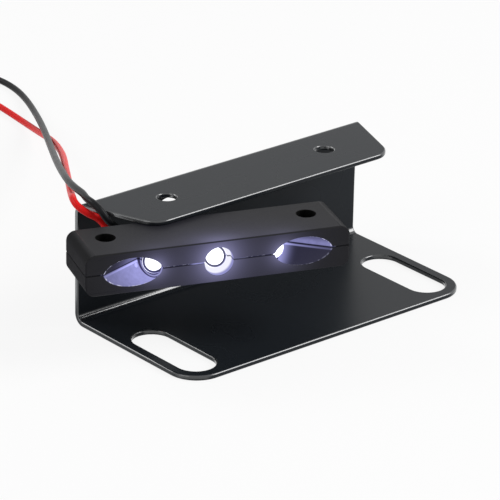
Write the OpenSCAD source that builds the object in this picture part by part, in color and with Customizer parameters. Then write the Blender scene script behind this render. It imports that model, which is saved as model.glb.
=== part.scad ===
// Folded sheet holder for a motorbike number plate, with its small lamp.
// The origin is the middle of the base plate's underside, Z up, the fold along X
// and the open side towards -Y. The lamp lies against the underside of the top
// flange, turned out of line with the flange, as it is shown.

/* [Sheet] */
// Thickness of the sheet
sheet_t = 1.2; // [1:0.1:2]
// Radius inside each fold
fold_r = 1.5; // [1:0.25:3]
// Width of the bracket along the folds
bracket_w = 80; // [72:1:95]
// Height from the underside to the top of the flange
bracket_h = 28.8; // [26:0.2:36]

/* [Base plate] */
// Depth of the base plate, over the fold
plate_d = 40.4; // [36:0.4:52]
// Radius of the two front corners
plate_corner_r = 7; // [3:0.5:9]
// Width of each slot
slot_w = 8.8; // [6:0.2:9.6]
// Length of each slot over its round ends
slot_l = 23.6; // [14:0.2:26]
// Strip of sheet left beside each slot
slot_side_strip = 2.5; // [2:0.25:5]
// Strip of sheet left in front of each slot
slot_front_strip = 2.7; // [2:0.25:6]

/* [Top flange] */
// Depth of the flange, over the fold
flange_d = 20; // [17:0.5:22]
// Angle by which each end of the flange is cut back
flange_end_angle = 20; // [10:1:24]
// Radius of the two front corners of the flange
flange_corner_r = 5; // [3:0.5:6]
// Distance of the lamp holes from the flange's front edge
flange_hole_inset = 10; // [7:0.25:11]

/* [Lamp fixing] */
// Spacing of the two fixing holes, in the flange and in the lamp
fixing_spacing = 45; // [42:0.5:47]
// Diameter of the fixing holes
fixing_hole_d = 4.2; // [3.2:0.1:4.4]

/* [Cable hole] */
// Diameter of the cable hole in the web
cable_hole_d = 8; // [6:0.5:9]
// Distance of the cable hole from the left end of the bracket
cable_hole_from_end = 25; // [22:0.5:34]
// Distance of the cable hole's top from the top of the flange
cable_hole_drop = 5.2; // [5:0.2:7]

/* [Lamp body] */
// Length of the lamp
lamp_l = 59; // [59:0.5:63]
// Depth of the lamp, front to back
lamp_d = 14.6; // [14.2:0.2:17]
// Height of the lamp
lamp_h = 9.4; // [9.2:0.2:11]
// Radius of the lamp's corners, seen from the front
lamp_corner_r = 2.3; // [1.5:0.1:2.8]
// Radius of the edges round the lamp's front and back
lamp_edge_r = 0.4; // [0.3:0.05:0.8]
// Height of the lower shell
lamp_split_h = 4.7; // [4.5:0.1:4.8]
// Width and depth of the groove where the shells meet
seam_groove = 0.2; // [0.1:0.05:0.4]
// Distance of the fixing holes from the lamp's back
lamp_hole_back = 5.9; // [5.5:0.1:6.5]
// Thickness of the lamp's back, top and bottom walls
lamp_wall = 1.3; // [1:0.1:1.5]
// Wall round each fixing hole
boss_wall = 1.4; // [1:0.1:2]

/* [Lamp place] */
// Turn of the lamp out of line with the flange
lamp_turn = -20.8; // [-23:0.2:-19]
// Lamp middle to the right of the flange's front left corner
lamp_out_x = 8.8; // [8:0.1:11]
// Lamp middle in front of the flange's front edge
lamp_out_y = 6.5; // [6:0.1:7]

/* [Light openings] */
// Diameter of each light opening
window_d = 6.4; // [6:0.1:6.6]
// How far the outer openings are drawn out to a point at each end
window_point = 0.5; // [0.1:0.1:0.7]
// Distance of the outer openings from the middle, on the front face
window_out = 19.1; // [18.6:0.1:19.4]
// Angle of the outer openings, away from straight ahead
window_tilt = 56; // [54:1:58]
// Depth of the middle opening down to its floor
middle_floor = 2.2; // [1.8:0.1:2.6]
// Depth of the outer openings down to their floors, along their axes
outer_floor = 6.2; // [5.8:0.1:6.4]

/* [Light emitting diodes] */
// Diameter of each diode
led_d = 5; // [4.6:0.1:5.2]
// Length of each diode from tip to base
led_l = 8.7; // [8.2:0.1:9]
// Diameter of the rim at each diode's base
led_rim_d = 5.8; // [5.5:0.1:6]
// Thickness of that rim
led_rim_t = 1; // [0.6:0.1:1.2]
// Height of the diode's tip above the floor of its opening
led_stand = 1.6; // [1.2:0.1:2]
// Thickness of the legs
led_leg_d = 0.5; // [0.4:0.05:0.6]
// Spacing of the two legs
led_leg_spacing = 2.54; // [2:0.02:2.6]

/* [Circuit board] */
// Thickness of the board
board_t = 1; // [0.8:0.1:1.6]
// Clearance round the board in its pocket
board_clear = 0.2; // [0.1:0.05:0.3]
// Distance from the board's back to the lamp's back wall
board_back_gap = 1.6; // [1.4:0.1:2]

/* [Wires] */
// Diameter of each wire
wire_d = 1.6; // [1.4:0.1:1.7]
// Spacing of the two wires where they leave the lamp
wire_spacing = 2.3; // [2.2:0.1:2.6]
// Distance of the pair of wires from the lamp's middle
wire_from_middle = 15.9; // [15:0.1:16]
// Diameter of the bare strands at each wire's end
strand_d = 1; // [0.8:0.1:1.1]
// Length of the bare strands
strand_l = 6; // [4:0.5:10]
// Thickness of the seal's collar outside the lamp
seal_collar_t = 0.4; // [0.3:0.05:0.5]
// Wall of the seal round the wires
seal_wall = 0.7; // [0.5:0.1:0.8]

/* [Hidden] */
$fn = 64;

// how far a cutting shape runs past what it cuts
over = 1;

// bracket
fold_out_r = fold_r + sheet_t;
front_y = -plate_d / 2;
web_back_y = plate_d / 2;
web_front_y = web_back_y - sheet_t;
flange_front_y = web_back_y - flange_d;
flange_under_z = bracket_h - sheet_t;
flange_inset = (flange_d - sheet_t) * tan(flange_end_angle);
slot_x = bracket_w / 2 - slot_side_strip - slot_w / 2;
slot_y = front_y + slot_front_strip + slot_l / 2;
fixing_y = flange_front_y + flange_hole_inset;
cable_hole_x = -bracket_w / 2 + cable_hole_from_end;
cable_hole_z = bracket_h - cable_hole_drop - cable_hole_d / 2;

// lamp
lamp_x = -bracket_w / 2 + flange_inset + lamp_out_x;
lamp_y = flange_front_y - lamp_out_y;
lamp_z = flange_under_z - lamp_h;
lamp_front_y = -lamp_d / 2;
lamp_back_y = lamp_d / 2;
lamp_hole_y = lamp_back_y - lamp_hole_back;
outer_tip = outer_floor - led_stand;
middle_tip = middle_floor - led_stand;
outer_base_y = lamp_front_y + (outer_tip + led_l) * cos(window_tilt);
board_back_y = lamp_back_y - lamp_wall - board_back_gap;
board_front_y = board_back_y - board_t;
pocket_x = fixing_spacing / 2 - fixing_hole_d / 2 - boss_wall;
pocket_front_y = outer_base_y;
board_w = 2 * (pocket_x - board_clear);
board_h = lamp_h - 2 * lamp_wall - 2 * board_clear;
board_mid_z = lamp_h / 2;
leg_bend = 1;

// wires
seal_hole_d = wire_d + 0.04;
seal_neck_h = wire_d + 2 * seal_wall;
seal_collar_lip = 0.7;
red_x = -wire_from_middle - wire_spacing / 2;
black_x = -wire_from_middle + wire_spacing / 2;
wire_sides = 8;
wire_steps = 2;

// routes of the wires in the bracket's frame, from behind the lamp to their ends
red_route = [
    [-36.9, 11.4, 23.2], [-37.3, 13.3, 25.4], [-38.6, 13.8, 26.9], [-40, 14.1, 27.7],
    [-41.3, 15.2, 28.7], [-41.8, 17.2, 29.5], [-40.9, 19.6, 30], [-39.3, 21.8, 29.4],
    [-37, 24.7, 27.4], [-32.9, 30.7, 25.6], [-25.7, 40.9, 23.1], [-15.9, 54.9, 19.3],
    [-6.5, 67.8, 15], [2.1, 80.4, 10.8], [9.3, 92.4, 7.2], [14.2, 101.9, 4.4],
    [17.9, 110.6, 2.2], [20.3, 118.3, 1.1], [21.5, 124.4, 0.8], [22.3, 130.4, 0.8],
    [22.8, 136.7, 0.8], [23.2, 143.6, 0.8], [23, 150, 0.8],
];
black_route = [
    [-34.9, 8.5, 23.3], [-35.6, 10.4, 24.8], [-37.1, 11.2, 26], [-38.2, 11.1, 27.3],
    [-39, 12, 29.2], [-39.5, 14.2, 30.5], [-38.9, 17.4, 30.1], [-37.3, 20.3, 29.9],
    [-35.6, 25, 29], [-32.6, 31.7, 27.6], [-28.1, 39.3, 25.6], [-18.6, 53.9, 20.7],
    [-8.8, 68.5, 16], [0.7, 82.5, 11.5], [9.4, 95.7, 8], [17.6, 108.4, 4.7],
    [24.6, 120.2, 2.2], [29.5, 129.8, 1.1], [32.4, 137.5, 0.8], [33.4, 143.9, 0.8],
    [33.1, 149, 0.8], [32.1, 153.3, 0.8],
];

// puts children, drawn in the lamp's own frame, where the lamp lies
module at_lamp() {
    translate([lamp_x, lamp_y, lamp_z]) rotate([0, 0, lamp_turn]) children();
}

// the same place for a point
function lamp_point(p) = [
    lamp_x + p[0] * cos(lamp_turn) - p[1] * sin(lamp_turn),
    lamp_y + p[0] * sin(lamp_turn) + p[1] * cos(lamp_turn),
    lamp_z + p[2],
];

// a rectangle from low to high with round corners
module round_rect(low, high, r) {
    translate(low + [r, 0]) square([high[0] - low[0] - 2 * r, high[1] - low[1]]);
    translate(low + [0, r]) square([high[0] - low[0], high[1] - low[1] - 2 * r]);
    for (x = [low[0] + r, high[0] - r], y = [low[1] + r, high[1] - r]) {
        translate([x, y]) circle(r = r);
    }
}

// a slot outline along Y
module slot_outline(w, l) {
    square([w, l - w], center = true);
    for (side = [-1, 1]) translate([0, side * (l - w) / 2]) circle(d = w);
}

// section of one fold, a quarter ring between +Y and -Z of its centre
module fold_section() {
    intersection() {
        difference() {
            circle(r = fold_out_r);
            circle(r = fold_r);
        }
        translate([0, -fold_out_r]) square(fold_out_r);
    }
}

// side view of the folded sheet, drawn with Y across and Z up
module folded_section() {
    translate([front_y, 0]) square([plate_d - fold_out_r, sheet_t]);
    translate([web_back_y - fold_out_r, fold_out_r]) fold_section();
    translate([web_front_y, fold_out_r]) square([sheet_t, bracket_h - 2 * fold_out_r]);
    translate([web_back_y - fold_out_r, bracket_h - fold_out_r]) mirror([0, 1]) fold_section();
    translate([flange_front_y, flange_under_z]) square([flange_d - fold_out_r, sheet_t]);
}

// outline of the base plate seen from above, with its two slots
module base_outline() {
    difference() {
        union() {
            translate([-bracket_w / 2, front_y + plate_corner_r]) {
                square([bracket_w, plate_d - plate_corner_r + over]);
            }
            translate([-bracket_w / 2 + plate_corner_r, front_y]) {
                square([bracket_w - 2 * plate_corner_r, plate_corner_r + over]);
            }
            for (side = [-1, 1]) {
                translate([side * (bracket_w / 2 - plate_corner_r), front_y + plate_corner_r]) {
                    circle(r = plate_corner_r);
                }
            }
        }
        for (side = [-1, 1]) translate([side * slot_x, slot_y]) slot_outline(slot_w, slot_l);
    }
}

// outline of the top flange seen from above, with slanted ends, round corners and holes
module flange_outline() {
    tip_x = bracket_w / 2 - flange_inset;
    reach = flange_corner_r * tan(45 - flange_end_angle / 2);
    round_x = tip_x - reach;
    side_x = tip_x + reach * sin(flange_end_angle);
    side_y = flange_front_y + reach * cos(flange_end_angle);
    difference() {
        union() {
            polygon([
                [-round_x, flange_front_y], [round_x, flange_front_y],
                [side_x, side_y], [bracket_w / 2, web_front_y],
                [bracket_w / 2, web_back_y + over], [-bracket_w / 2, web_back_y + over],
                [-bracket_w / 2, web_front_y], [-side_x, side_y],
            ]);
            for (side = [-1, 1]) {
                translate([side * round_x, flange_front_y + flange_corner_r]) {
                    circle(r = flange_corner_r);
                }
            }
        }
        for (side = [-1, 1]) {
            translate([side * fixing_spacing / 2, fixing_y]) circle(d = fixing_hole_d);
        }
    }
}

module bracket() {
    half_h = bracket_h / 2;
    color("#2b2d30") difference() {
        intersection() {
            rotate([90, 0, 90]) translate([0, 0, -bracket_w / 2]) {
                linear_extrude(bracket_w) folded_section();
            }
            union() {
                translate([0, 0, -over]) linear_extrude(half_h + over) base_outline();
                translate([0, 0, half_h]) linear_extrude(half_h + over) flange_outline();
            }
        }
        translate([cable_hole_x, web_back_y + over, cable_hole_z]) rotate([90, 0, 0]) {
            cylinder(d = cable_hole_d, h = sheet_t + 2 * over);
        }
    }
}

// the lamp's outer shape, with round corners seen from the front and crisp front and back edges
module lamp_blank() {
    intersection() {
        rotate([90, 0, 0]) translate([0, 0, -lamp_back_y]) linear_extrude(lamp_d) {
            round_rect([-lamp_l / 2, 0], [lamp_l / 2, lamp_h], lamp_corner_r);
        }
        rotate([90, 0, 90]) translate([0, 0, -lamp_l / 2]) linear_extrude(lamp_l) {
            round_rect([lamp_front_y, 0], [lamp_back_y, lamp_h], lamp_edge_r);
        }
        linear_extrude(lamp_h) {
            round_rect([-lamp_l / 2, lamp_front_y], [lamp_l / 2, lamp_back_y], lamp_edge_r);
        }
    }
}

// the frame of one light opening: side is -1, 0 or 1, and +Z runs inwards along its axis
module at_opening(side) {
    translate([side * window_out, lamp_front_y, lamp_split_h]) rotate([0, 0, side * window_tilt]) {
        rotate([-90, 0, 0]) children();
    }
}

// outline of a light opening across its axis, drawn out by point along the lamp
module window_outline(point) {
    intersection_for(up = [-1, 1]) translate([0, up * point]) circle(d = window_d + 2 * point);
}

// what is cut from both shells for one diode
module opening_cut(side, floor_depth) {
    tip = floor_depth - led_stand;
    past = window_d * tan(side * side * window_tilt) + over;
    at_opening(side) {
        translate([0, 0, -past]) linear_extrude(past + floor_depth) {
            window_outline(side * side * window_point);
        }
        cylinder(d = led_d + 0.1, h = tip + led_l);
        translate([0, 0, tip + led_l - led_rim_t - 0.1]) {
            cylinder(d = led_rim_d + 0.2, h = led_rim_t + leg_bend + led_rim_d * side * side / 2);
        }
    }
}

// the pocket for the board and the legs, between the two fixing holes
module pocket_cut() {
    translate([-pocket_x, pocket_front_y, lamp_wall]) {
        cube([2 * pocket_x, lamp_back_y - lamp_wall - pocket_front_y, lamp_h - 2 * lamp_wall]);
    }
}

// outline of the cable seal in the back wall, grown by lip, with X along the lamp
module seal_outline(lip) {
    rotate(90) slot_outline(seal_neck_h + 2 * lip, seal_neck_h + wire_spacing + 2 * lip);
}

module lamp_cuts() {
    opening_cut(0, middle_floor);
    for (side = [-1, 1]) opening_cut(side, outer_floor);
    pocket_cut();
    for (side = [-1, 1]) translate([side * fixing_spacing / 2, lamp_hole_y, -over]) {
        cylinder(d = fixing_hole_d, h = lamp_h + 2 * over);
    }
    translate([-wire_from_middle, lamp_back_y + over, lamp_split_h]) rotate([90, 0, 0]) {
        linear_extrude(lamp_wall + 2 * over) seal_outline(0);
    }
    difference() {
        translate([-lamp_l, -lamp_d, lamp_split_h]) cube([2 * lamp_l, 2 * lamp_d, seam_groove]);
        linear_extrude(lamp_h) round_rect(
            [-lamp_l / 2 + seam_groove, lamp_front_y + seam_groove],
            [lamp_l / 2 - seam_groove, lamp_back_y - seam_groove],
            lamp_edge_r - seam_groove / 2
        );
    }
}

module lamp_lower_shell() {
    color("#26272a") at_lamp() difference() {
        lamp_blank();
        lamp_cuts();
        translate([-lamp_l, -lamp_d, lamp_split_h]) cube([2 * lamp_l, 2 * lamp_d, lamp_h]);
    }
}

module lamp_upper_shell() {
    color("#303235") at_lamp() difference() {
        lamp_blank();
        lamp_cuts();
        translate([-lamp_l, -lamp_d, lamp_split_h - lamp_h]) cube([2 * lamp_l, 2 * lamp_d, lamp_h]);
    }
}

// half section of a diode, tip at the origin and base at +Y
module led_section() {
    intersection() {
        translate([0, led_d / 2]) circle(d = led_d);
        square([led_d, led_d / 2]);
    }
    translate([0, led_d / 2]) square([led_d / 2, led_l - led_d / 2]);
    translate([0, led_l - led_rim_t]) square([led_rim_d / 2, led_rim_t]);
}

// one diode with its two legs, which run on to the board
module led(side, tip) {
    base = tip + led_l;
    bend = base + side * side * leg_bend;
    bend_x = side * (window_out - bend * sin(window_tilt));
    bend_y = lamp_front_y + bend * cos(side * window_tilt);
    color("#f4f6ff") at_lamp() {
        at_opening(side) translate([0, 0, tip]) rotate_extrude() led_section();
        for (up = [-1, 1]) {
            at_opening(side) translate([0, -up * led_leg_spacing / 2, base - led_rim_t / 2]) {
                cylinder(d = led_leg_d, h = bend - base + led_rim_t / 2, $fn = 16);
            }
            translate([bend_x, bend_y - led_leg_d / 2, lamp_split_h + up * led_leg_spacing / 2]) {
                rotate([-90, 0, 0]) {
                    cylinder(d = led_leg_d, h = board_front_y - bend_y + led_leg_d / 2, $fn = 16);
                }
            }
        }
    }
}

module circuit_board() {
    color("#2f6b45") at_lamp() {
        translate([-board_w / 2, board_front_y, board_mid_z - board_h / 2]) {
            cube([board_w, board_t, board_h]);
        }
    }
}

module led_left() { led(-1, outer_tip); }
module led_middle() { led(0, middle_tip); }
module led_right() { led(1, outer_tip); }

// film resistor with end caps, lying along the board's back
module resistor() {
    body_d = 1.3;
    cap_d = 1.4;
    body_l = 3.4;
    cap_l = 0.8;
    color("#8fb0cf") at_lamp() translate([2, board_back_y + cap_d / 2, board_mid_z]) {
        rotate([0, 90, 0]) {
            cylinder(d = body_d, h = body_l);
            cylinder(d = cap_d, h = cap_l);
            translate([0, 0, body_l - cap_l]) cylinder(d = cap_d, h = cap_l);
        }
    }
}

// glass diode that guards against crossed wires
module polarity_diode() {
    body_d = 1.4;
    body_l = 3.4;
    color("#c9683c") at_lamp() translate([-8, board_back_y + body_d / 2, board_mid_z]) {
        rotate([0, 90, 0]) cylinder(d = body_d, h = body_l);
    }
}

// rubber seal with a hole for each wire and a collar outside the lamp
module cable_seal() {
    neck_l = lamp_wall + seal_collar_t;
    color("#1c1c1e") at_lamp() {
        translate([-wire_from_middle, lamp_back_y - lamp_wall, lamp_split_h]) {
            rotate([-90, 0, 0]) difference() {
                union() {
                    linear_extrude(neck_l) seal_outline(0);
                    translate([0, 0, lamp_wall]) {
                        linear_extrude(seal_collar_t) seal_outline(seal_collar_lip);
                    }
                }
                for (side = [-1, 1]) translate([side * wire_spacing / 2, 0, -over]) {
                    cylinder(d = seal_hole_d, h = neck_l + 2 * over);
                }
            }
        }
    }
}

function unit(v) = v / norm(v);

// a point on the smooth cubic spline that the points a, b, c and d pull at
function spline_point(a, b, c, d, t) = (
    a * (1 - t) ^ 3 + b * (3 * t ^ 3 - 6 * t ^ 2 + 4) + c * (1 + 3 * t + 3 * t ^ 2 - 3 * t ^ 3) + d * t ^ 3
) / 6;

// the route with one more point carried on straight past each end
function with_ends(route) =
    let (n = len(route)) concat([2 * route[0] - route[1]], route, [2 * route[n - 1] - route[n - 2]]);

// the smooth curve of the route, with wire_steps points for each of its stretches
function smooth_route(route) =
    let (r = with_ends(route)) [
        for (i = [0:len(route) - 2], s = [0:wire_steps - 1])
            spline_point(r[i], r[i + 1], r[i + 2], r[i + 3], s / wire_steps),
        route[len(route) - 1],
    ];

function at(route, i) = route[min(max(i, 0), len(route) - 1)];

// the direction of the route at point i
function heading(route, i) = unit(at(route, i + 1) - at(route, i - 1));

// sideways directions carried along the route without twist
function sideways(route, i) =
    i == 0
        ? unit(cross(heading(route, 0), [0, 0, 1]))
        : let (before = sideways(route, i - 1), ahead = heading(route, i))
            unit(before - ahead * (before * ahead));

// one ring of the tube
function wire_ring(route, i, r) =
    let (ahead = heading(route, i), side = sideways(route, i), up = cross(ahead, side))
        [for (k = [0:wire_sides - 1]) let (a = 360 * (k + 0.5) / wire_sides)
            route[i] + r * (cos(a) * side + sin(a) * up)];

// a tube along the route
module wire_tube(route, r) {
    path = smooth_route(route);
    n = len(path);
    m = wire_sides;
    points = [for (i = [0:n - 1]) each wire_ring(path, i, r)];
    faces = [
        [for (k = [m - 1:-1:0]) k],
        for (i = [0:n - 2], k = [0:m - 1])
            [i * m + k, i * m + (k + 1) % m, (i + 1) * m + (k + 1) % m, (i + 1) * m + k],
        [for (k = [0:m - 1]) (n - 1) * m + k],
    ];
    polyhedron(points = points, faces = [for (f = faces) [for (i = [len(f) - 1:-1:0]) f[i]]]);
}

// a wire's first points, straight from the board's back out through the seal
function wire_start(x) = [
    for (y = [board_back_y, lamp_back_y - 1.4, lamp_back_y + 0.2, lamp_back_y + 1.1])
        lamp_point([x, y, lamp_split_h]),
];

red_path = concat(wire_start(red_x), red_route);
black_path = concat(wire_start(black_x), black_route);

module red_wire() { color("#d0161b") wire_tube(red_path, wire_d / 2); }
module black_wire() { color("#1b1b1d") wire_tube(black_path, wire_d / 2); }

// bare strands that carry a wire on past its end
module strands(path) {
    end = path[len(path) - 1];
    ahead = unit(end - path[len(path) - 2]);
    color("#c8c4bb") translate(end) rotate([0, acos(ahead[2]), atan2(ahead[1], ahead[0])]) {
        cylinder(d = strand_d, h = strand_l, $fn = 24);
    }
}

module red_wire_strands() { strands(red_path); }
module black_wire_strands() { strands(black_path); }

bracket();
lamp_lower_shell();
lamp_upper_shell();
led_left();
led_middle();
led_right();
circuit_board();
resistor();
polarity_diode();
cable_seal();
red_wire();
black_wire();
red_wire_strands();
black_wire_strands();
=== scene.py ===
"""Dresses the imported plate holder: powder coat, lit lamp, wires and a plain white stage."""

import math

import bpy
from mathutils import Matrix, Vector
from mathutils.bvhtree import BVHTree


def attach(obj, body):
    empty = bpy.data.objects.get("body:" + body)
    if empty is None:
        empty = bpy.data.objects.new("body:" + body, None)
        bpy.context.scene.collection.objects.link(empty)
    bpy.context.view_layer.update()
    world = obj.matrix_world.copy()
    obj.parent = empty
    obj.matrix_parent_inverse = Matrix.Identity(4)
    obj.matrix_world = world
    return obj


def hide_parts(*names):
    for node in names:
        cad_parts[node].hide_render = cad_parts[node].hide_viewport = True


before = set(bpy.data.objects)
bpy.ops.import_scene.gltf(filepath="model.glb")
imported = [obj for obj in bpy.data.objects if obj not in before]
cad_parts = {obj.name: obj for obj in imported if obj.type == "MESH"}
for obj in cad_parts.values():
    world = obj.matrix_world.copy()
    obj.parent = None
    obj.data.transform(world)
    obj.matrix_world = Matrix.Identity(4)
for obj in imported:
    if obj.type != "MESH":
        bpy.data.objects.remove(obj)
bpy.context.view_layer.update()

bl_info = {
    "name": "Plate holder builder",
    "version": (1, 0, 0),
    "blender": (4, 5, 0),
    "location": "3D View > Sidebar > Plate holder",
    "description": "Finishes the folded plate holder, its small lamp and its wires",
    "category": "Object",
}

BODY = "root"
MM = 0.001

# The lamp's own frame, placed and turned in the object's frame. X runs along the lamp from
# its middle, Y from its front to its back, and Z up from its underside.
LAMP_PLACE = Vector((-0.0243574, -0.0063, 0.0182))
LAMP_TURN = math.radians(-20.8)

# Places on the lamp, in millimetres in its own frame.
LAMP_FRONT = -7.3
LAMP_SPLIT = 4.7
OPENING_OUT = 19.1
OPENING_TILT = math.radians(56)
BORE_OUT = 22.5
BORE_BACK = 1.4

# The wires' routes, in millimetres, as part.scad has them. Each starts in the lamp's frame,
# at this X and these Y, and goes on in the object's frame.
WIRE_START = (4.4, 5.9, 7.5, 8.4)
WIRE_X = {"red": -17.05, "black": -14.75}
ROUTES = {
    "red": [
        (-36.9, 11.4, 23.2), (-37.3, 13.3, 25.4), (-38.6, 13.8, 26.9), (-40, 14.1, 27.7),
        (-41.3, 15.2, 28.7), (-41.8, 17.2, 29.5), (-40.9, 19.6, 30), (-39.3, 21.8, 29.4),
        (-37, 24.7, 27.4), (-32.9, 30.7, 25.6), (-25.7, 40.9, 23.1), (-15.9, 54.9, 19.3),
        (-6.5, 67.8, 15), (2.1, 80.4, 10.8), (9.3, 92.4, 7.2), (14.2, 101.9, 4.4),
        (17.9, 110.6, 2.2), (20.3, 118.3, 1.1), (21.5, 124.4, 0.8), (22.3, 130.4, 0.8),
        (22.8, 136.7, 0.8), (23.2, 143.6, 0.8), (23, 150, 0.8),
    ],
    "black": [
        (-34.9, 8.5, 23.3), (-35.6, 10.4, 24.8), (-37.1, 11.2, 26), (-38.2, 11.1, 27.3),
        (-39, 12, 29.2), (-39.5, 14.2, 30.5), (-38.9, 17.4, 30.1), (-37.3, 20.3, 29.9),
        (-35.6, 25, 29), (-32.6, 31.7, 27.6), (-28.1, 39.3, 25.6), (-18.6, 53.9, 20.7),
        (-8.8, 68.5, 16), (0.7, 82.5, 11.5), (9.4, 95.7, 8), (17.6, 108.4, 4.7),
        (24.6, 120.2, 2.2), (29.5, 129.8, 1.1), (32.4, 137.5, 0.8), (33.4, 143.9, 0.8),
        (33.1, 149, 0.8), (32.1, 153.3, 0.8),
    ],
}

# Bare strands at the wires' ends.
STRAND_COUNT = 7
STRAND_RADIUS = 0.165 * MM
STRAND_RING = 0.335 * MM
STRAND_LENGTH = 6 * MM
STRAND_OVERLAP = 0.2 * MM
STRAND_TURNS = 0.9
STRAND_STEPS = 18

# A pair of numbers below is where a mask starts to rise from 0 and where it reaches 1.

# Masks on the bracket: how far a face turns to the side, along any axis and upwards, and the
# height in metres over which the side cuts turn from painted shade near the floor to their
# thin pale coat.
SIDE_CUT = (0.75, 0.97)
FLAT_FACE = (0.93, 0.99)
FACING_UP = (-0.25, 0.1)
CUT_FLOOR_SHADE_HEIGHT = (3 * MM, 8 * MM)

# Masks on the lamp, in millimetres in its frame: the groove between the shells, the openings
# and the walls of the screw bores. The last two go by where a face points: the rounded edges
# under the top, and the lamp's two ends.
GROOVE_RISE = 0.05
GROOVE_FADE = (0.08, 0.2)
OPENING_MOUTH = (0.02, 0.12)
OPENING_END = (6.2, 6.5)
OPENING_HALF_HEIGHT = (3.45, 3.6)
OPENINGS_REACH = (26, 26.5)
BORE_WALL = (2.15, 2.3)
TOP_EDGE = ((0.2, 0.5), (0.85, 0.98))
LAMP_END = (0.1, 0.7)
# Painted shade on the walls of the screw bores.
BORE_SHADE_COLOUR = (0.002, 0.002, 0.002)
BLACK = (0, 0, 0)

# The glow on the shells round each diode: place along the lamp, height, reach and power, the
# first three in millimetres.
HALOS = ((-14.2, 5.0, 2.5, 0.6), (-0.3, 5.2, 4.0, 1.0), (14.2, 5.0, 2.6, 0.6))

# Light in the outer openings: where they begin on either side of the middle one, and how the
# light grows down their length towards the step at their end, with its ring and colours.
OUTER_FROM = (5, 7)
OUTER_NEAR = (-5.5, 6)
STEP_FROM = (5.95, 6.05)
STEP_RING = 2.85
STEP_COLOURS = ((0.3, 0.3, 0.58), (0.035, 0.03, 0.1))
RIM_COLOUR = (0.62, 0.62, 0.85)
GROOVE_COLOUR = (0.008, 0.008, 0.025)

# Light in the middle opening: the depth at which its floor begins, and its colours.
MIDDLE_FLOOR = (0.7, 1.9)
MIDDLE_FLOOR_COLOUR = (0.88, 0.88, 1.0)
MIDDLE_GROOVE_COLOUR = (0.05, 0.05, 0.09)

# The diodes' domes: how far down its opening each one's centre lies, which way the bright disc
# lies from there in the lamp's frame, and the radii of the disc and of the line round it.
DOME_DEEP = {"left": 7.1, "middle": 3.1, "right": 7.1}
DISC_WAY = (-0.303, -0.864, 0.402)
DISC_EDGE = (2.0, 2.4)
DISC_LINE = ((1.86, 1.96), (2.36, 2.46))
RESIN = (0.9, 0.92, 1)
DARK_LINE = (0.02, 0.02, 0.05)

# The small parts on the board: middle along the lamp, half length of the painted body, and
# bands with their place, half width and paint, in millimetres. The two fades soften the ends
# of the bands and of the body.
TIN = (0.72, 0.7, 0.66)
BAND_FADE = 0.04
CAP_FADE = 0.05
RESISTOR = {
    "name": "resistor_body", "body": (0.27, 0.43, 0.6), "roughness": 0.3,
    "middle": 3.7, "half_length": 0.9,
    "bands": (
        (-0.6, 0.08, (0.5, 0.25, 0.02)), (-0.25, 0.08, (0.2, 0.02, 0.3)),
        (0.1, 0.08, (0.2, 0.07, 0.02)), (0.6, 0.08, (0.45, 0.3, 0.05)),
    ),
}
POLARITY_DIODE = {
    "name": "diode_glass", "body": (0.55, 0.14, 0.05), "roughness": 0.12,
    "middle": -6.3, "half_length": 1.3,
    "bands": ((0.95, 0.14, (0.02, 0.02, 0.02)),),
}

# The board's colours, and how many lanes of its copper tracks, shifts and breaks of them there
# are in a millimetre.
LACQUER = (0.02, 0.1, 0.045)
TRACK = (0.06, 0.24, 0.1)
CUT_BOARD = (0.35, 0.33, 0.2)
LANES_PER_MM = 0.9
SHIFTS_PER_MM = 0.22
BREAKS_PER_MM = 0.16

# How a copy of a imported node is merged, cleared of flat edges, rounded and smoothed, and how
# far a point may stand off the surface, as a length and as a share of the rounding.
MERGE_REACH = 0.002 * MM
FLAT_ANGLE = math.radians(0.5)
SHARP_ANGLE = math.radians(30)
SMOOTH_ANGLE = math.radians(40)
STRAY_RISE = 0.01 * MM
STRAY_SHARE = 0.45

# The stage. Each lamp has a name, a place, a side and a power, and points at the origin.
LIGHTS = (
    ("key_light", (0.59, -0.57, 0.57), 0.6, 9.0),
    ("left_light", (-0.8, -0.1, 0.5), 0.5, 1.6),
    ("back_light", (-0.40, 0.70, 0.6), 0.4, 2.5),
)
EVEN_LIGHT = (0.8, 0.8, 0.8, 1)

# The floor: its paper, its side, how far it lies under the object, and how much of what the
# camera sees of it is the plain background.
PAPER = (0.82, 0.82, 0.82, 1)
FLOOR_SIZE = 6
FLOOR_GAP = 0.02 * MM
FLOOR_WHITE = 0.87

# The camera: the point it looks at, its azimuth, elevation and roll in degrees, and its lens
# and film width in millimetres.
CAMERA_TARGET = Vector((-0.00752, -0.00021, 0.01586))
CAMERA_ANGLES = (40.363, 23.666, 1.097)
CAMERA_LENS = 269.306
CAMERA_FILM = 36


def at_lamp(point):
    """A point in the lamp's frame, in millimetres, as a place in the object's frame."""
    return LAMP_PLACE + Matrix.Rotation(LAMP_TURN, 3, "Z") @ (Vector(point) * MM)


# Shader maths


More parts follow.
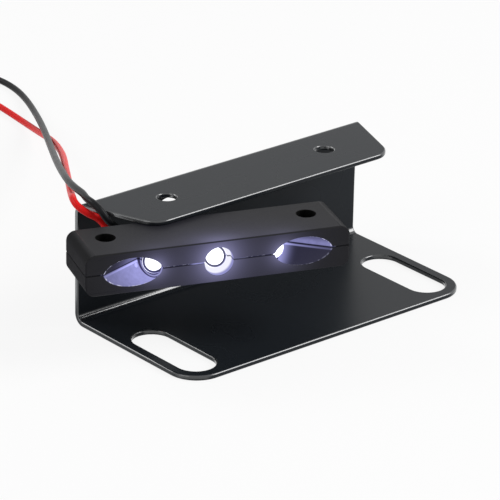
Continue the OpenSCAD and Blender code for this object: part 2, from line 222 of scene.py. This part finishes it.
class Link:
    """A shader socket that can be used in plain expressions."""

    def __init__(self, nodes, socket):
        self.nodes = nodes
        self.socket = socket

    def maths(self, operation, *others):
        """A Math node on this value and the others."""
        values = dict(enumerate((self, *others)))
        return self.nodes.add("ShaderNodeMath", {"operation": operation}, values)

    def __add__(self, other):
        return self.maths("ADD", other)

    def __radd__(self, other):
        return self.maths("ADD", other)

    def __mul__(self, other):
        return self.maths("MULTIPLY", other)

    def __rmul__(self, other):
        return self.maths("MULTIPLY", other)

    def __sub__(self, other):
        return self.maths("SUBTRACT", other)

    def __rsub__(self, other):
        return self.nodes.add("ShaderNodeMath", {"operation": "SUBTRACT"}, {0: other, 1: self})

    def __pow__(self, other):
        return self.maths("POWER", other)

    def at_most(self, other):
        return self.maths("MINIMUM", other)

    def at_least(self, other):
        return self.maths("MAXIMUM", other)

    def size(self):
        return self.maths("ABSOLUTE")

    def step(self, low, high):
        """0 below low and 1 above high, smooth between them."""
        settings = {"interpolation_type": "SMOOTHSTEP"}
        return self.nodes.add("ShaderNodeMapRange", settings, {0: self, 1: low, 2: high})

    def between(self, low, high):
        """This value from 0 to 1, moved to run from low to high."""
        return self * (high - low) + low


class Nodes:
    """The nodes of a material or a world, and the way to add to them."""

    def __init__(self, owner):
        owner.use_nodes = True
        self.owner = owner
        self.tree = owner.node_tree
        self.tree.nodes.clear()

    def add(self, kind, settings=None, values=None, out=(0,)):
        """Adds a node with its settings and its sockets' values or links, and gives its outputs."""
        made = self.tree.nodes.new(kind)
        for key, value in (settings or {}).items():
            setattr(made, key, value)
        for key, value in (values or {}).items():
            socket = made.inputs[key]
            if isinstance(value, Link):
                self.tree.links.new(value.socket, socket)
            else:
                socket.default_value = value
        links = [Link(self, made.outputs[key]) for key in out]
        return links[0] if len(links) == 1 else links

    def rays(self):
        """Whether a ray is the camera's own, and whether a piece mirrors it or lets it through."""
        names = ("Is Camera Ray", "Is Glossy Ray", "Is Transmission Ray")
        camera, glossy, passing = self.add("ShaderNodeLightPath", out=names)
        return camera, glossy.at_least(passing)


class Shader(Nodes):
    """A new material, with the places and textures that its surface is worked out from."""

    def __init__(self, name):
        super().__init__(bpy.data.materials.new(name))

    def place(self):
        return self.add("ShaderNodeTexCoord", out=("Object",))

    def facing(self):
        """The surface's normal in the object's frame."""
        return self.add("ShaderNodeTexCoord", out=("Normal",))

    def axes(self, vector):
        """The three numbers of a vector."""
        return self.add("ShaderNodeSeparateXYZ", None, {0: vector}, ("X", "Y", "Z"))

    def lamp_place(self):
        """The place in the lamp's own frame, in millimetres."""
        values = {
            "Vector": self.place(), "Location": LAMP_PLACE,
            "Rotation": (0, 0, LAMP_TURN), "Scale": (MM, MM, MM),
        }
        return self.axes(self.add("ShaderNodeMapping", {"vector_type": "TEXTURE"}, values))

    def noise(self, lumps, detail=2, rough=0.5):
        """Soft noise with about this many lumps in a metre."""
        values = {"Vector": self.place(), "Scale": lumps, "Detail": detail, "Roughness": rough}
        return self.add("ShaderNodeTexNoise", None, values)

    def mix(self, amount, low, high):
        """A colour between low and high. The node's colour sockets are 6 and 7, its result 2."""
        ends = [end if isinstance(end, Link) else (*end[:3], 1) for end in (low, high)]
        values = {0: amount, 6: ends[0], 7: ends[1]}
        return self.add("ShaderNodeMix", {"data_type": "RGBA"}, values, (2,))

    def bump(self, height, distance, strength):
        """A normal from a height, of which 1 stands for this distance in millimetres."""
        values = {"Height": height, "Distance": distance * MM, "Strength": strength}
        return self.add("ShaderNodeBump", None, values)

    def end(self, surface):
        """Ends the material in this surface, and gives the material."""
        self.add("ShaderNodeOutputMaterial", None, {"Surface": surface}, ())
        return self.owner

    def finish(self, **sockets):
        """Ends the material in one Principled shader with these sockets."""
        values = {key.replace("_", " "): value for key, value in sockets.items()}
        return self.end(self.add("ShaderNodeBsdfPrincipled", None, values))


# Materials


def shades(colour, low, high):
    """A darker and a lighter shade of a colour."""
    return tuple(low * c for c in colour), tuple(min(high * c, 1) for c in colour)


def powder_coat(settings):
    """Satin black powder coat with a fine orange peel.

    It is thin and pale on the sheet's side cuts, but painted dark as shade low down near the
    floor, and glossy on the rounded edges that don't face down.
    """
    coat = Shader("black_coat")
    peel = coat.noise(900, 3)
    cloud = coat.noise(45)
    normal = coat.axes(coat.facing())
    x, y, z = [axis.size() for axis in normal]
    height = coat.axes(coat.place())[2]
    # painted shade: low on the side cuts, near the floor, they fade mostly back to the dark coat
    cut = x.step(*SIDE_CUT) * height.step(*CUT_FLOOR_SHADE_HEIGHT).between(0.2, 1)
    edge = (1 - x.at_least(y).at_least(z).step(*FLAT_FACE)) * normal[2].step(*FACING_UP)
    dark = coat.mix(cloud, *shades(settings.coat_colour, 0.85, 1.15))
    thin = coat.mix(coat.noise(2200, 2, 0.6), *shades(settings.cut_colour, 0.75, 1.25))
    return coat.finish(
        Base_Color=coat.mix(cut, dark, thin),
        Metallic=cut * 0.9,
        Roughness=(cloud - 0.5) * 0.08 + settings.coat_roughness,
        Specular_IOR_Level=settings.coat_gloss,
        Coat_Weight=edge,
        Coat_Roughness=0.15,
        Coat_IOR=1.7,
        Normal=coat.bump(peel, 0.01, 0.25),
    )


def lamp_plastic(settings):
    """Moulded black plastic, lit by the diodes in the openings and round them.

    The ends are rougher, and the screw bores get painted shade: near black, without glow.
    """
    shell = Shader("lamp_plastic")
    grain = shell.noise(2600, 2, 0.6)
    cloud = shell.noise(120)
    x, y, z = shell.lamp_place()
    depth, up = y - LAMP_FRONT, z - LAMP_SPLIT
    groove = 1 - (up - GROOVE_RISE).size().step(*GROOVE_FADE)
    inside = depth.step(*OPENING_MOUTH) * (1 - up.size().step(*OPENING_HALF_HEIGHT))
    inside = inside * (1 - depth.step(*OPENING_END)) * (1 - x.size().step(*OPENINGS_REACH))
    ahead, aside, upright = shell.axes(shell.facing())
    end = (ahead * math.cos(LAMP_TURN) + aside * math.sin(LAMP_TURN)).size().step(*LAMP_END)
    edge = upright.step(*TOP_EDGE[0]) * (1 - upright.step(*TOP_EDGE[1]))
    glow = halo(x, depth, z) * ((1 - groove * 0.6) * (1 - edge * 0.9))
    outside = shell.mix(glow, BLACK, settings.halo_colour)
    lit = shell.mix(inside, outside, opening_light(shell, settings, x, depth, up, groove))
    # painted shade: the walls of the screw bores are near black and have no glow
    from_bore = ((x.size() - BORE_OUT) ** 2 + (y - BORE_BACK) ** 2) ** 0.5
    past_bore = from_bore.step(*BORE_WALL)
    skin = shell.mix(cloud, *shades(settings.shell_colour, 0.8, 1.25))
    return shell.finish(
        Base_Color=shell.mix(past_bore, BORE_SHADE_COLOUR, skin),
        Roughness=(grain - 0.5) * 0.2 + end * 0.45 + 0.4,
        Specular_IOR_Level=settings.shell_gloss,
        Emission_Color=shell.mix(past_bore, BLACK, lit),
        Emission_Strength=1.0,
        Normal=shell.bump(grain, 0.012, 0.5),
    )


def halo(x, depth, z):
    """How brightly the three diodes light the outside of the shells, from 0 to 1."""
    glows = []
    for across, height, reach, power in HALOS:
        aside, above = x - across, z - height
        square = aside * aside + depth * depth * 2 + above * above
        glows.append((square * (1 / reach**2) + 1) ** -1.5 * power)
    left, middle, right = glows
    return (left + middle + right).at_most(1)


def opening_light(shell, settings, x, depth, up, groove):
    """The colour of the light on the walls of the three openings."""
    outer = outer_opening_light(shell, settings, x, depth, up, groove)
    middle = shell.mix(depth.step(*MIDDLE_FLOOR), settings.glow_colour, MIDDLE_FLOOR_COLOUR)
    middle = shell.mix(groove * x.step(0.3, 0.9), middle, MIDDLE_GROOVE_COLOUR)
    return shell.mix(x.size().step(*OUTER_FROM), middle, outer)


def outer_opening_light(shell, settings, x, depth, up, groove):
    """Light on the walls of the outer openings, each half with its own bright and dark parts."""
    sine, cosine = math.sin(OPENING_TILT), math.cos(OPENING_TILT)
    out = x.size() - OPENING_OUT
    along = depth * cosine - out * sine
    across = out * cosine + depth * sine
    upper, right = up.step(-0.1, 0.1), x.step(-0.5, 0.5)
    near = along.step(*OUTER_NEAR)
    lumps = shell.noise(900, 3, 0.6).between(0.75, 1.25)
    # a bright glint, the lower and upper halves of both openings, and a line under the groove
    glint = 1 - ((along - 5.2) ** 2 + (up + 1.1) ** 2).step(0.02, 0.3)
    lower_left = near.between(0.5, 1.2) * lumps + glint * 1.5
    upper_left = near * near * 0.62 * lumps
    lower_right = along.step(1.5, 6.2) ** 2.2 * 1.1 + 0.03
    upper_right = ((up - 2.4).size().step(0, 1.8) * 0.4 + 0.33) * lumps
    under_groove = (1 - (up + 0.42).size().step(0.05, 0.3)) * near.between(0.25, 0.9)
    lower = right.between(lower_left, lower_right) + under_groove
    strength = upper.between(lower, right.between(upper_left, upper_right))
    bright = tuple(2 * c for c in settings.glow_colour)
    walls = shell.mix(strength * 0.5, settings.shade_colour, bright)
    # the step at the opening's end, with a pale ring on it
    from_ring = ((across * across + up * up) ** 0.5 - STEP_RING).size()
    on_step = shell.mix(from_ring.step(0.05, 0.3), *STEP_COLOURS)
    walls = shell.mix(along.step(*STEP_FROM), walls, on_step)
    # a broken bright line round the mouth, fainter at the lower right
    rim = (1 - depth.step(0.12, 0.3)) * shell.noise(1700, 1).step(0.42, 0.62)
    walls = shell.mix(rim * (1 - right * (1 - upper) * 0.8), walls, RIM_COLOUR)
    return shell.mix(groove, walls, GROOVE_COLOUR)


def diode_light(settings, side):
    """Clear resin over a lit chip: a bright disc on the dome, a line round it and a violet rim."""
    glow = Shader("led_resin_" + side)
    way = {"left": -1, "middle": 0, "right": 1}[side]
    deep, turn = DOME_DEEP[side], way * OPENING_TILT
    x, y, z = glow.lamp_place()
    across = x - (way * OPENING_OUT - deep * math.sin(turn))
    back = y - (LAMP_FRONT + deep * math.cos(turn))
    up = z - LAMP_SPLIT
    ahead = across * DISC_WAY[0] + back * DISC_WAY[1] + up * DISC_WAY[2]
    radius = (across * across + back * back + up * up - ahead * ahead) ** 0.5
    rim_light = glow.mix((across - up).step(-1, 2.5), settings.light_colour, settings.glow_colour)
    line_colour = settings.light_colour if side == "right" else DARK_LINE
    line = radius.step(*DISC_LINE[0]) * (1 - radius.step(*DISC_LINE[1]))
    light = glow.mix(radius.step(*DISC_EDGE), settings.light_colour, rim_light)
    return glow.finish(
        Base_Color=glow.mix(line, RESIN, line_colour),
        Roughness=0.08,
        Emission_Color=glow.mix(line, light, line_colour),
        Emission_Strength=settings.light_strength,
    )


def insulation(name, colour, settings):
    """Smooth soft wire insulation with faint rub marks."""
    skin = Shader(name)
    rub = skin.noise(260, 3, 0.6)
    return skin.finish(
        Base_Color=skin.mix(rub, *shades(colour, 0.88, 1.12)),
        Roughness=(rub - 0.5) * 0.12 + settings.insulation_roughness,
        Specular_IOR_Level=0.09,
        Normal=skin.bump(skin.noise(1500), 0.01, 0.3),
    )


def fine_grained(name, colour, roughness, metallic=0.0):
    """One colour with a fine grain and a slight cloud, for strands and rubber."""
    part = Shader(name)
    cloud = part.noise(300)
    return part.finish(
        Base_Color=part.mix(cloud, *shades(colour, 0.85, 1.15)),
        Roughness=(cloud - 0.5) * 0.1 + roughness,
        Metallic=metallic,
        Normal=part.bump(part.noise(800), 0.01, 0.4),
    )


def banded(name, body, roughness, middle, half_length, bands):
    """A small round part along the board, with painted bands and tinned end caps."""
    part = Shader(name)
    along = part.lamp_place()[0] - middle
    cloud = part.noise(600)
    colour = part.mix(cloud, *shades(body, 0.85, 1.15))
    for place, half_width, paint in bands:
        off_band = (along - place).size().step(half_width, half_width + BAND_FADE)
        colour = part.mix(off_band, paint, colour)
    cap = along.size().step(half_length, half_length + CAP_FADE)
    return part.finish(
        Base_Color=part.mix(cap, colour, TIN),
        Metallic=cap,
        Roughness=(cloud - 0.5) * 0.1 + roughness,
        Normal=part.bump(part.noise(2500), 0.004, 0.5),
    )


def laminate():
    """Green board with pale copper tracks under the lacquer, a fine weave and cut edges."""
    board = Shader("board_laminate")
    x, y, z = board.lamp_place()
    weave = board.noise(3000, 1)
    shift = (x * SHIFTS_PER_MM).maths("FLOOR").maths("SINE")
    lane = (z * LANES_PER_MM + shift * 1.3).maths("FRACT")
    unbroken = (x * BREAKS_PER_MM).maths("FRACT").step(0.1, 0.12)
    track = (1 - (lane - 0.5).size().step(0.12, 0.16)) * unbroken
    cut = (z - LAMP_SPLIT).size().step(2.9, 3.0)
    green = board.mix(track, LACQUER, TRACK)
    return board.finish(
        Base_Color=board.mix(cut, green, CUT_BOARD),
        Roughness=(weave - 0.5) * 0.15 + 0.32,
        Normal=board.bump(weave + track, 0.01, 0.6),
    )


# Modelling helpers


def select_only(obj):
    bpy.ops.object.select_all(action="DESELECT")
    obj.hide_set(False)
    obj.select_set(True)
    bpy.context.view_layer.objects.active = obj


def new_object(name, data):
    """A new object in the scene, from a mesh, curve, light or camera."""
    made = bpy.data.objects.new(name, data)
    bpy.context.scene.collection.objects.link(made)
    return made


def apply_modifier(obj, kind, **settings):
    select_only(obj)
    modifier = obj.modifiers.new(kind.title(), kind)
    for key, value in settings.items():
        setattr(modifier, key, value)
    bpy.ops.object.modifier_apply(modifier=modifier.name)


def pull_in_strays(piece, mesh, reach):
    """Smooths the few points that a bevel throws off the surface, where cuts meet sharply."""
    faces = [tuple(face.vertices) for face in mesh.polygons]
    surface = BVHTree.FromPolygons([point.co for point in mesh.vertices], faces)
    select_only(piece)
    bpy.ops.object.mode_set(mode="EDIT")
    bpy.ops.mesh.select_mode(type="VERT")
    bpy.ops.mesh.select_all(action="DESELECT")
    bpy.ops.object.mode_set(mode="OBJECT")
    for point in piece.data.vertices:
        place, normal, _, distance = surface.find_nearest(point.co)
        outside = (point.co - place).dot(normal) > STRAY_RISE
        point.select = outside or distance > reach
    bpy.ops.object.mode_set(mode="EDIT")
    bpy.ops.mesh.vertices_smooth(factor=0.5, repeat=60)
    bpy.ops.object.mode_set(mode="OBJECT")


def softened_copy(node, name, width, segments):
    """A merged copy of a node with its sharp edges rounded, which stands for the node."""
    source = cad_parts[node]
    piece = new_object(name, source.data.copy())
    select_only(piece)
    piece.matrix_world = source.matrix_world.copy()
    bpy.ops.object.transform_apply(location=True, rotation=True, scale=True)
    bpy.ops.object.mode_set(mode="EDIT")
    bpy.ops.mesh.select_all(action="SELECT")
    bpy.ops.mesh.remove_doubles(threshold=MERGE_REACH)
    bpy.ops.mesh.dissolve_limited(angle_limit=FLAT_ANGLE)
    bpy.ops.object.mode_set(mode="OBJECT")
    if width:
        apply_modifier(
            piece, "BEVEL", width=width, segments=segments, limit_method="ANGLE",
            angle_limit=SHARP_ANGLE, use_clamp_overlap=False, harden_normals=False,
        )
        pull_in_strays(piece, source.data, STRAY_SHARE * width)
    select_only(piece)
    bpy.ops.object.shade_smooth_by_angle(angle=SMOOTH_ANGLE)
    apply_modifier(piece, "WEIGHTED_NORMAL", mode="FACE_AREA", weight=100, keep_sharp=True)
    return piece


def own(piece, material, node):
    """Gives a piece its material and body, and hides the node that it stands for."""
    piece.data.materials.clear()
    piece.data.materials.append(material)
    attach(piece, BODY)
    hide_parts(node)


def repaint(node, material):
    """Puts a material on a node of the frame."""
    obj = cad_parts[node]
    for slot in obj.material_slots:
        slot.material = material
    if not obj.material_slots:
        obj.data.materials.append(material)


# Settings


class BracketSettings(bpy.types.PropertyGroup):
    edge_radius: bpy.props.FloatProperty(
        name="Edge radius", description="Rounding of the coated sheet's edges",
        default=0.4 * MM, min=0.05 * MM, max=0.5 * MM,
        precision=5, subtype="DISTANCE", unit="LENGTH",
    )
    coat_colour: bpy.props.FloatVectorProperty(
        name="Coat colour", description="Colour of the powder coat",
        default=(0.0122, 0.0148, 0.0182), min=0, max=1, size=3, subtype="COLOR",
    )
    cut_colour: bpy.props.FloatVectorProperty(
        name="Cut colour",
        description="Colour of the sheet's two side cuts, where the coat is thin",
        default=(0.19, 0.195, 0.2), min=0, max=1, size=3, subtype="COLOR",
    )
    coat_roughness: bpy.props.FloatProperty(
        name="Coat roughness", description="How matt the powder coat is",
        default=0.28, min=0.1, max=0.9, subtype="FACTOR",
    )
    coat_gloss: bpy.props.FloatProperty(
        name="Coat gloss", description="How strongly the coat reflects",
        default=0.11, min=0, max=1, subtype="FACTOR",
    )


class LampSettings(bpy.types.PropertyGroup):
    edge_radius: bpy.props.FloatProperty(
        name="Shell edge radius", description="Rounding of the shells' edges",
        default=0.15 * MM, min=0, max=0.5 * MM,
        precision=5, subtype="DISTANCE", unit="LENGTH",
    )
    shell_colour: bpy.props.FloatVectorProperty(
        name="Shell colour", description="Colour of the lamp's plastic",
        default=(0.0155, 0.0155, 0.0165), min=0, max=1, size=3, subtype="COLOR",
    )
    shell_gloss: bpy.props.FloatProperty(
        name="Shell gloss", description="How strongly the lamp's plastic reflects",
        default=0.055, min=0, max=1, subtype="FACTOR",
    )
    halo_colour: bpy.props.FloatVectorProperty(
        name="Halo colour", description="Light on the shells round the diodes",
        default=(0.33, 0.32, 0.6), min=0, max=1, size=3, subtype="COLOR",
    )
    glow_colour: bpy.props.FloatVectorProperty(
        name="Glow colour", description="Light on the walls of the openings",
        default=(0.27, 0.27, 0.57), min=0, max=1, size=3, subtype="COLOR",
    )
    shade_colour: bpy.props.FloatVectorProperty(
        name="Shade colour",
        description="Light on the openings' walls that face away from the diodes",
        default=(0.012, 0.011, 0.025), min=0, max=1, size=3, subtype="COLOR",
    )
    light_colour: bpy.props.FloatVectorProperty(
        name="Light colour", description="Colour of the lit diodes",
        default=(0.93, 0.95, 1.0), min=0, max=1, size=3, subtype="COLOR",
    )
    light_strength: bpy.props.FloatProperty(
        name="Light strength", description="Brightness of the lit diodes",
        default=1.6, min=0, max=50,
    )


class WireSettings(bpy.types.PropertyGroup):
    diameter: bpy.props.FloatProperty(
        name="Wire diameter", description="Diameter over the insulation",
        default=1.6 * MM, min=0.8 * MM, max=3 * MM,
        precision=5, subtype="DISTANCE", unit="LENGTH",
    )
    red: bpy.props.FloatVectorProperty(
        name="Red", description="Colour of the red insulation",
        default=(0.72, 0.012, 0.012), min=0, max=1, size=3, subtype="COLOR",
    )
    black: bpy.props.FloatVectorProperty(
        name="Black", description="Colour of the black insulation",
        default=(0.011, 0.0115, 0.013), min=0, max=1, size=3, subtype="COLOR",
    )
    insulation_roughness: bpy.props.FloatProperty(
        name="Insulation roughness", description="How matt the insulation is",
        default=0.36, min=0.05, max=0.9, subtype="FACTOR",
    )


class StageSettings(bpy.types.PropertyGroup):
    background: bpy.props.FloatVectorProperty(
        name="Background", description="Colour that the camera sees behind the object",
        default=(1, 1, 1), min=0, max=1, size=3, subtype="COLOR",
    )
    world_strength: bpy.props.FloatProperty(
        name="World strength", description="Strength of the even light from all round",
        default=0.4, min=0, max=3,
    )
    camera_distance: bpy.props.FloatProperty(
        name="Camera distance", description="Distance of the camera from the point it looks at",
        default=0.8139, min=0.2, max=5, subtype="DISTANCE", unit="LENGTH",
    )


# Wires


def route_points(colour):
    """The control points of a wire's route, in metres."""
    start = [at_lamp((WIRE_X[colour], y, LAMP_SPLIT)) for y in WIRE_START]
    return start + [Vector(point) * MM for point in ROUTES[colour]]


def with_ends(points):
    """The control points with one more at each end, so that the spline starts and ends there."""
    return [points[0] * 2 - points[1]] + points + [points[-1] * 2 - points[-2]]


def wire_curve(name, points, radius):
    """A round curve along the smooth cubic spline of the control points."""
    curve = bpy.data.curves.new(name, "CURVE")
    curve.dimensions = "3D"
    curve.bevel_depth = radius
    curve.bevel_resolution = 5
    curve.resolution_u = 6
    curve.use_fill_caps = True
    spline = curve.splines.new("BEZIER")
    spline.bezier_points.add(len(points) - 1)
    ends = with_ends(points)
    for i, knot in enumerate(spline.bezier_points):
        before, here, after = ends[i : i + 3]
        knot.handle_left_type = knot.handle_right_type = "FREE"
        knot.co = (before + here * 4 + after) / 6
        knot.handle_left = (here * 2 + before) / 3
        knot.handle_right = (here * 2 + after) / 3
    return new_object(name, curve)


def spline_length(points, steps=40):
    """Length of the smooth cubic spline, worked out in short steps."""
    ends = with_ends(points)
    places = []
    for i in range(len(points) - 1):
        a, b, c, d = ends[i : i + 4]
        for step in range(steps):
            t = step / steps
            places.append((
                a * (1 - t) ** 3 + b * (3 * t**3 - 6 * t * t + 4)
                + c * (1 + 3 * t + 3 * t * t - 3 * t**3) + d * t**3
            ) / 6)
    places.append((ends[-3] + ends[-2] * 4 + ends[-1]) / 6)
    return sum((after - before).length for before, after in zip(places, places[1:]))


def bare_strands(name, end, ahead):
    """A short twist of fine strands that carries on from a wire's end."""
    side = ahead.cross(Vector((0, 0, 1))).normalized()
    up = side.cross(ahead)
    curve = bpy.data.curves.new(name, "CURVE")
    curve.dimensions = "3D"
    curve.bevel_depth = STRAND_RADIUS
    curve.bevel_resolution = 2
    curve.use_fill_caps = True
    for index in range(STRAND_COUNT):
        ring = STRAND_RING if index else 0
        spline = curve.splines.new("POLY")
        spline.points.add(STRAND_STEPS)
        for step in range(STRAND_STEPS + 1):
            along = step / STRAND_STEPS
            turn = 2 * math.pi * (index / (STRAND_COUNT - 1) + along * STRAND_TURNS)
            out = (side * math.cos(turn) + up * math.sin(turn)) * ring
            point = end + ahead * (STRAND_LENGTH * along - STRAND_OVERLAP) + out
            spline.points[step].co = (*point, 1)
    select_only(new_object(name, curve))
    bpy.ops.object.convert(target="MESH")
    bpy.ops.object.shade_smooth_by_angle(angle=math.radians(50))
    return bpy.context.view_layer.objects.active


class HOLDER_OT_run_wires(bpy.types.Operator):
    """Runs the two wires along their routes and strips their ends"""

    bl_idname = "holder.run_wires"
    bl_label = "Run wires"

    def execute(self, context):
        settings = context.scene.holder_wires
        tin = fine_grained("tinned_copper", TIN, 0.32, metallic=1.0)
        for colour in ("red", "black"):
            points = route_points(colour)
            skin = insulation(colour + "_insulation", getattr(settings, colour), settings)
            wire = wire_curve(colour + "_lead", points, settings.diameter / 2)
            own(wire, skin, colour + "_wire")
            end = points[-1]
            strands = bare_strands(colour + "_bare_end", end, (end - points[-2]).normalized())
            own(strands, tin, colour + "_wire_strands")
            spline_length(points)
        return {"FINISHED"}


# Bracket and lamp


class HOLDER_OT_coat_bracket(bpy.types.Operator):
    """Rounds the sheet's edges and gives the bracket its powder coat"""

    bl_idname = "holder.coat_bracket"
    bl_label = "Coat bracket"

    def execute(self, context):
        settings = context.scene.holder_bracket
        piece = softened_copy("bracket", "coated_bracket", settings.edge_radius, 4)
        own(piece, powder_coat(settings), "bracket")
        return {"FINISHED"}


class HOLDER_OT_mould_shells(bpy.types.Operator):
    """Rounds the edges of the lamp's two shells and gives them their plastic"""

    bl_idname = "holder.mould_shells"
    bl_label = "Mould lamp shells"

    def execute(self, context):
        settings = context.scene.holder_lamp
        plastic = lamp_plastic(settings)
        for half in ("lower", "upper"):
            node = f"lamp_{half}_shell"
            piece = softened_copy(node, f"{half}_shell", settings.edge_radius, 2)
            own(piece, plastic, node)
        return {"FINISHED"}


class HOLDER_OT_light_diodes(bpy.types.Operator):
    """Gives the three diodes their lit resin"""

    bl_idname = "holder.light_diodes"
    bl_label = "Light diodes"

    def execute(self, context):
        for side in ("left", "middle", "right"):
            repaint("led_" + side, diode_light(context.scene.holder_lamp, side))
        return {"FINISHED"}


class HOLDER_OT_fit_board(bpy.types.Operator):
    """Finishes the board, the small parts on it and the cable seal"""

    bl_idname = "holder.fit_board"
    bl_label = "Fit board and seal"

    def execute(self, context):
        repaint("circuit_board", laminate())
        repaint("resistor", banded(**RESISTOR))
        repaint("polarity_diode", banded(**POLARITY_DIODE))
        repaint("cable_seal", fine_grained("seal_rubber", (0.02, 0.02, 0.02), 0.6))
        return {"FINISHED"}


# Stage


def stage_floor(settings):
    """Pale paper that keeps the object's shadow and looks white behind it and in reflections."""
    floor = Shader("stage_floor")
    camera, mirrored = floor.rays()
    paper = floor.add("ShaderNodeBsdfDiffuse", None, {"Color": PAPER})
    seen = {"Color": (*settings.background, 1), "Strength": 1.0}
    white = floor.add("ShaderNodeEmission", None, seen)
    amount = (camera * FLOOR_WHITE).at_least(mirrored)
    return floor.end(floor.add("ShaderNodeMixShader", None, {0: amount, 1: paper, 2: white}))


class HOLDER_OT_set_stage(bpy.types.Operator):
    """Lays the white floor, the soft lights, the world and the camera"""

    bl_idname = "holder.set_stage"
    bl_label = "Set stage"

    def execute(self, context):
        settings = context.scene.holder_stage
        self.lay_floor(settings)
        self.hang_lights()
        self.light_world(context.scene, settings)
        self.aim_camera(context.scene, settings)
        context.scene.view_settings.view_transform = "Standard"
        return {"FINISHED"}

    def lay_floor(self, settings):
        bpy.ops.object.select_all(action="DESELECT")
        bpy.ops.mesh.primitive_plane_add(size=FLOOR_SIZE, location=(0, 0, -FLOOR_GAP))
        floor = bpy.context.object
        floor.name = "stage_floor"
        floor.data.materials.append(stage_floor(settings))

    def hang_lights(self):
        for name, place, side, power in LIGHTS:
            lamp = bpy.data.lights.new(name, "AREA")
            lamp.shape = "SQUARE"
            lamp.size = side
            lamp.energy = power
            obj = new_object(name, lamp)
            obj.location = place
            obj.rotation_euler = (-Vector(place)).to_track_quat("-Z", "Y").to_euler()

    def light_world(self, scene, settings):
        """Even light on the object, and the background colour to the camera and reflections."""
        world = Nodes(bpy.data.worlds.new("stage_world"))
        camera, mirrored = world.rays()
        light = {"Color": EVEN_LIGHT, "Strength": settings.world_strength}
        even = world.add("ShaderNodeBackground", None, light)
        seen = {"Color": (*settings.background, 1), "Strength": 1.0}
        white = world.add("ShaderNodeBackground", None, seen)
        shown = {0: camera.at_least(mirrored), 1: even, 2: white}
        surface = world.add("ShaderNodeMixShader", None, shown)
        world.add("ShaderNodeOutputWorld", None, {"Surface": surface}, ())
        scene.world = world.owner

    def aim_camera(self, scene, settings):
        azimuth, elevation, roll = [math.radians(angle) for angle in CAMERA_ANGLES]
        ahead = Vector((
            math.sin(azimuth) * math.cos(elevation),
            math.cos(azimuth) * math.cos(elevation),
            -math.sin(elevation),
        ))
        level = Vector((math.cos(azimuth), -math.sin(azimuth), 0))
        upright = level.cross(ahead)
        right = level * math.cos(roll) + upright * math.sin(roll)
        up = upright * math.cos(roll) - level * math.sin(roll)
        place = CAMERA_TARGET - ahead * settings.camera_distance
        data = bpy.data.cameras.new("photo_camera")
        data.lens = CAMERA_LENS
        data.sensor_width = CAMERA_FILM
        data.clip_start = 0.01
        camera = new_object("photo_camera", data)
        turn = Matrix((right, up, -ahead)).transposed().to_4x4()
        camera.matrix_world = Matrix.Translation(place) @ turn
        scene.camera = camera


# Panel and registration


class HOLDER_PT_builder(bpy.types.Panel):
    """Lists the steps that finish the plate holder"""

    bl_idname = "HOLDER_PT_builder"
    bl_label = "Plate holder"
    bl_space_type = "VIEW_3D"
    bl_region_type = "UI"
    bl_category = "Plate holder"

    def draw(self, context):
        for operator in OPERATORS:
            self.layout.operator(operator.bl_idname)
        for group, attribute in GROUPS:
            box = self.layout.box()
            settings = getattr(context.scene, attribute)
            for key in group.__annotations__:
                box.prop(settings, key)


GROUPS = (
    (BracketSettings, "holder_bracket"),
    (LampSettings, "holder_lamp"),
    (WireSettings, "holder_wires"),
    (StageSettings, "holder_stage"),
)
OPERATORS = (
    HOLDER_OT_set_stage,
    HOLDER_OT_run_wires,
    HOLDER_OT_coat_bracket,
    HOLDER_OT_mould_shells,
    HOLDER_OT_light_diodes,
    HOLDER_OT_fit_board,
)


def register():
    for group, attribute in GROUPS:
        bpy.utils.register_class(group)
        setattr(bpy.types.Scene, attribute, bpy.props.PointerProperty(type=group))
    for operator in OPERATORS:
        bpy.utils.register_class(operator)
    bpy.utils.register_class(HOLDER_PT_builder)


def unregister():
    bpy.utils.unregister_class(HOLDER_PT_builder)
    for operator in reversed(OPERATORS):
        bpy.utils.unregister_class(operator)
    for group, attribute in reversed(GROUPS):
        delattr(bpy.types.Scene, attribute)
        bpy.utils.unregister_class(group)


def main():
    register()
    bpy.ops.holder.set_stage()
    bpy.ops.holder.run_wires()
    bpy.ops.holder.coat_bracket()
    bpy.ops.holder.mould_shells()
    bpy.ops.holder.light_diodes()
    bpy.ops.holder.fit_board()


if __name__ == "__main__":
    main()
